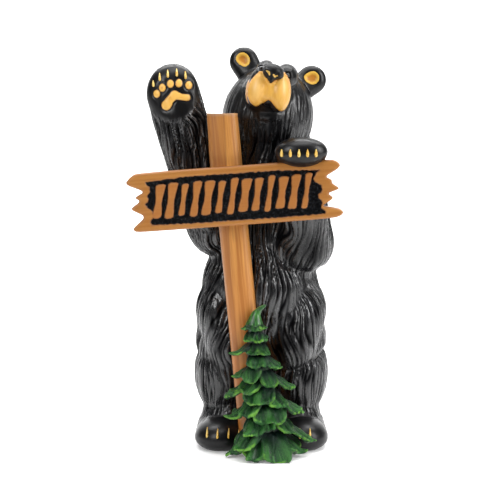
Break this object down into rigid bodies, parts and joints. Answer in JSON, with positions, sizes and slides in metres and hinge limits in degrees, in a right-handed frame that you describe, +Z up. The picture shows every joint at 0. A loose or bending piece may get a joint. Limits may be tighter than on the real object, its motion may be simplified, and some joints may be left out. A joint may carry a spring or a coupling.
{
  "type": "chainsaw carved bear figure",
  "caption": "Cast resin figure of a carved black bear that waves with a raised paw and holds a rustic wooden sign on a post, with a small pine tree at its feet.",
  "frame": {"origin": "on the ground, in the middle of the bear's flat underside", "axes": "+Z up, +X towards the bear's left, +Y towards its back, so it faces -Y"},
  "size_m": [0.2188, 0.1682, 0.4196],
  "materials": {
    "coat_paint": "satin black paint on cast resin",
    "honey_paint": "satin honey yellow paint on cast resin",
    "post_wood": "satin wood-grain paint on cast resin",
    "board_wood": "satin wood-grain paint on cast resin",
    "panel_paint": "satin black paint in the panel's recess",
    "pine_paint": "satin green paint, drybrushed lighter at the tips"
  },
  "bodies": {
    "root": {"bear": "coat_paint", "sign_post": "post_wood", "sign_board": "board_wood", "pine_tree": "pine_paint"}
  },
  "joints": []
}
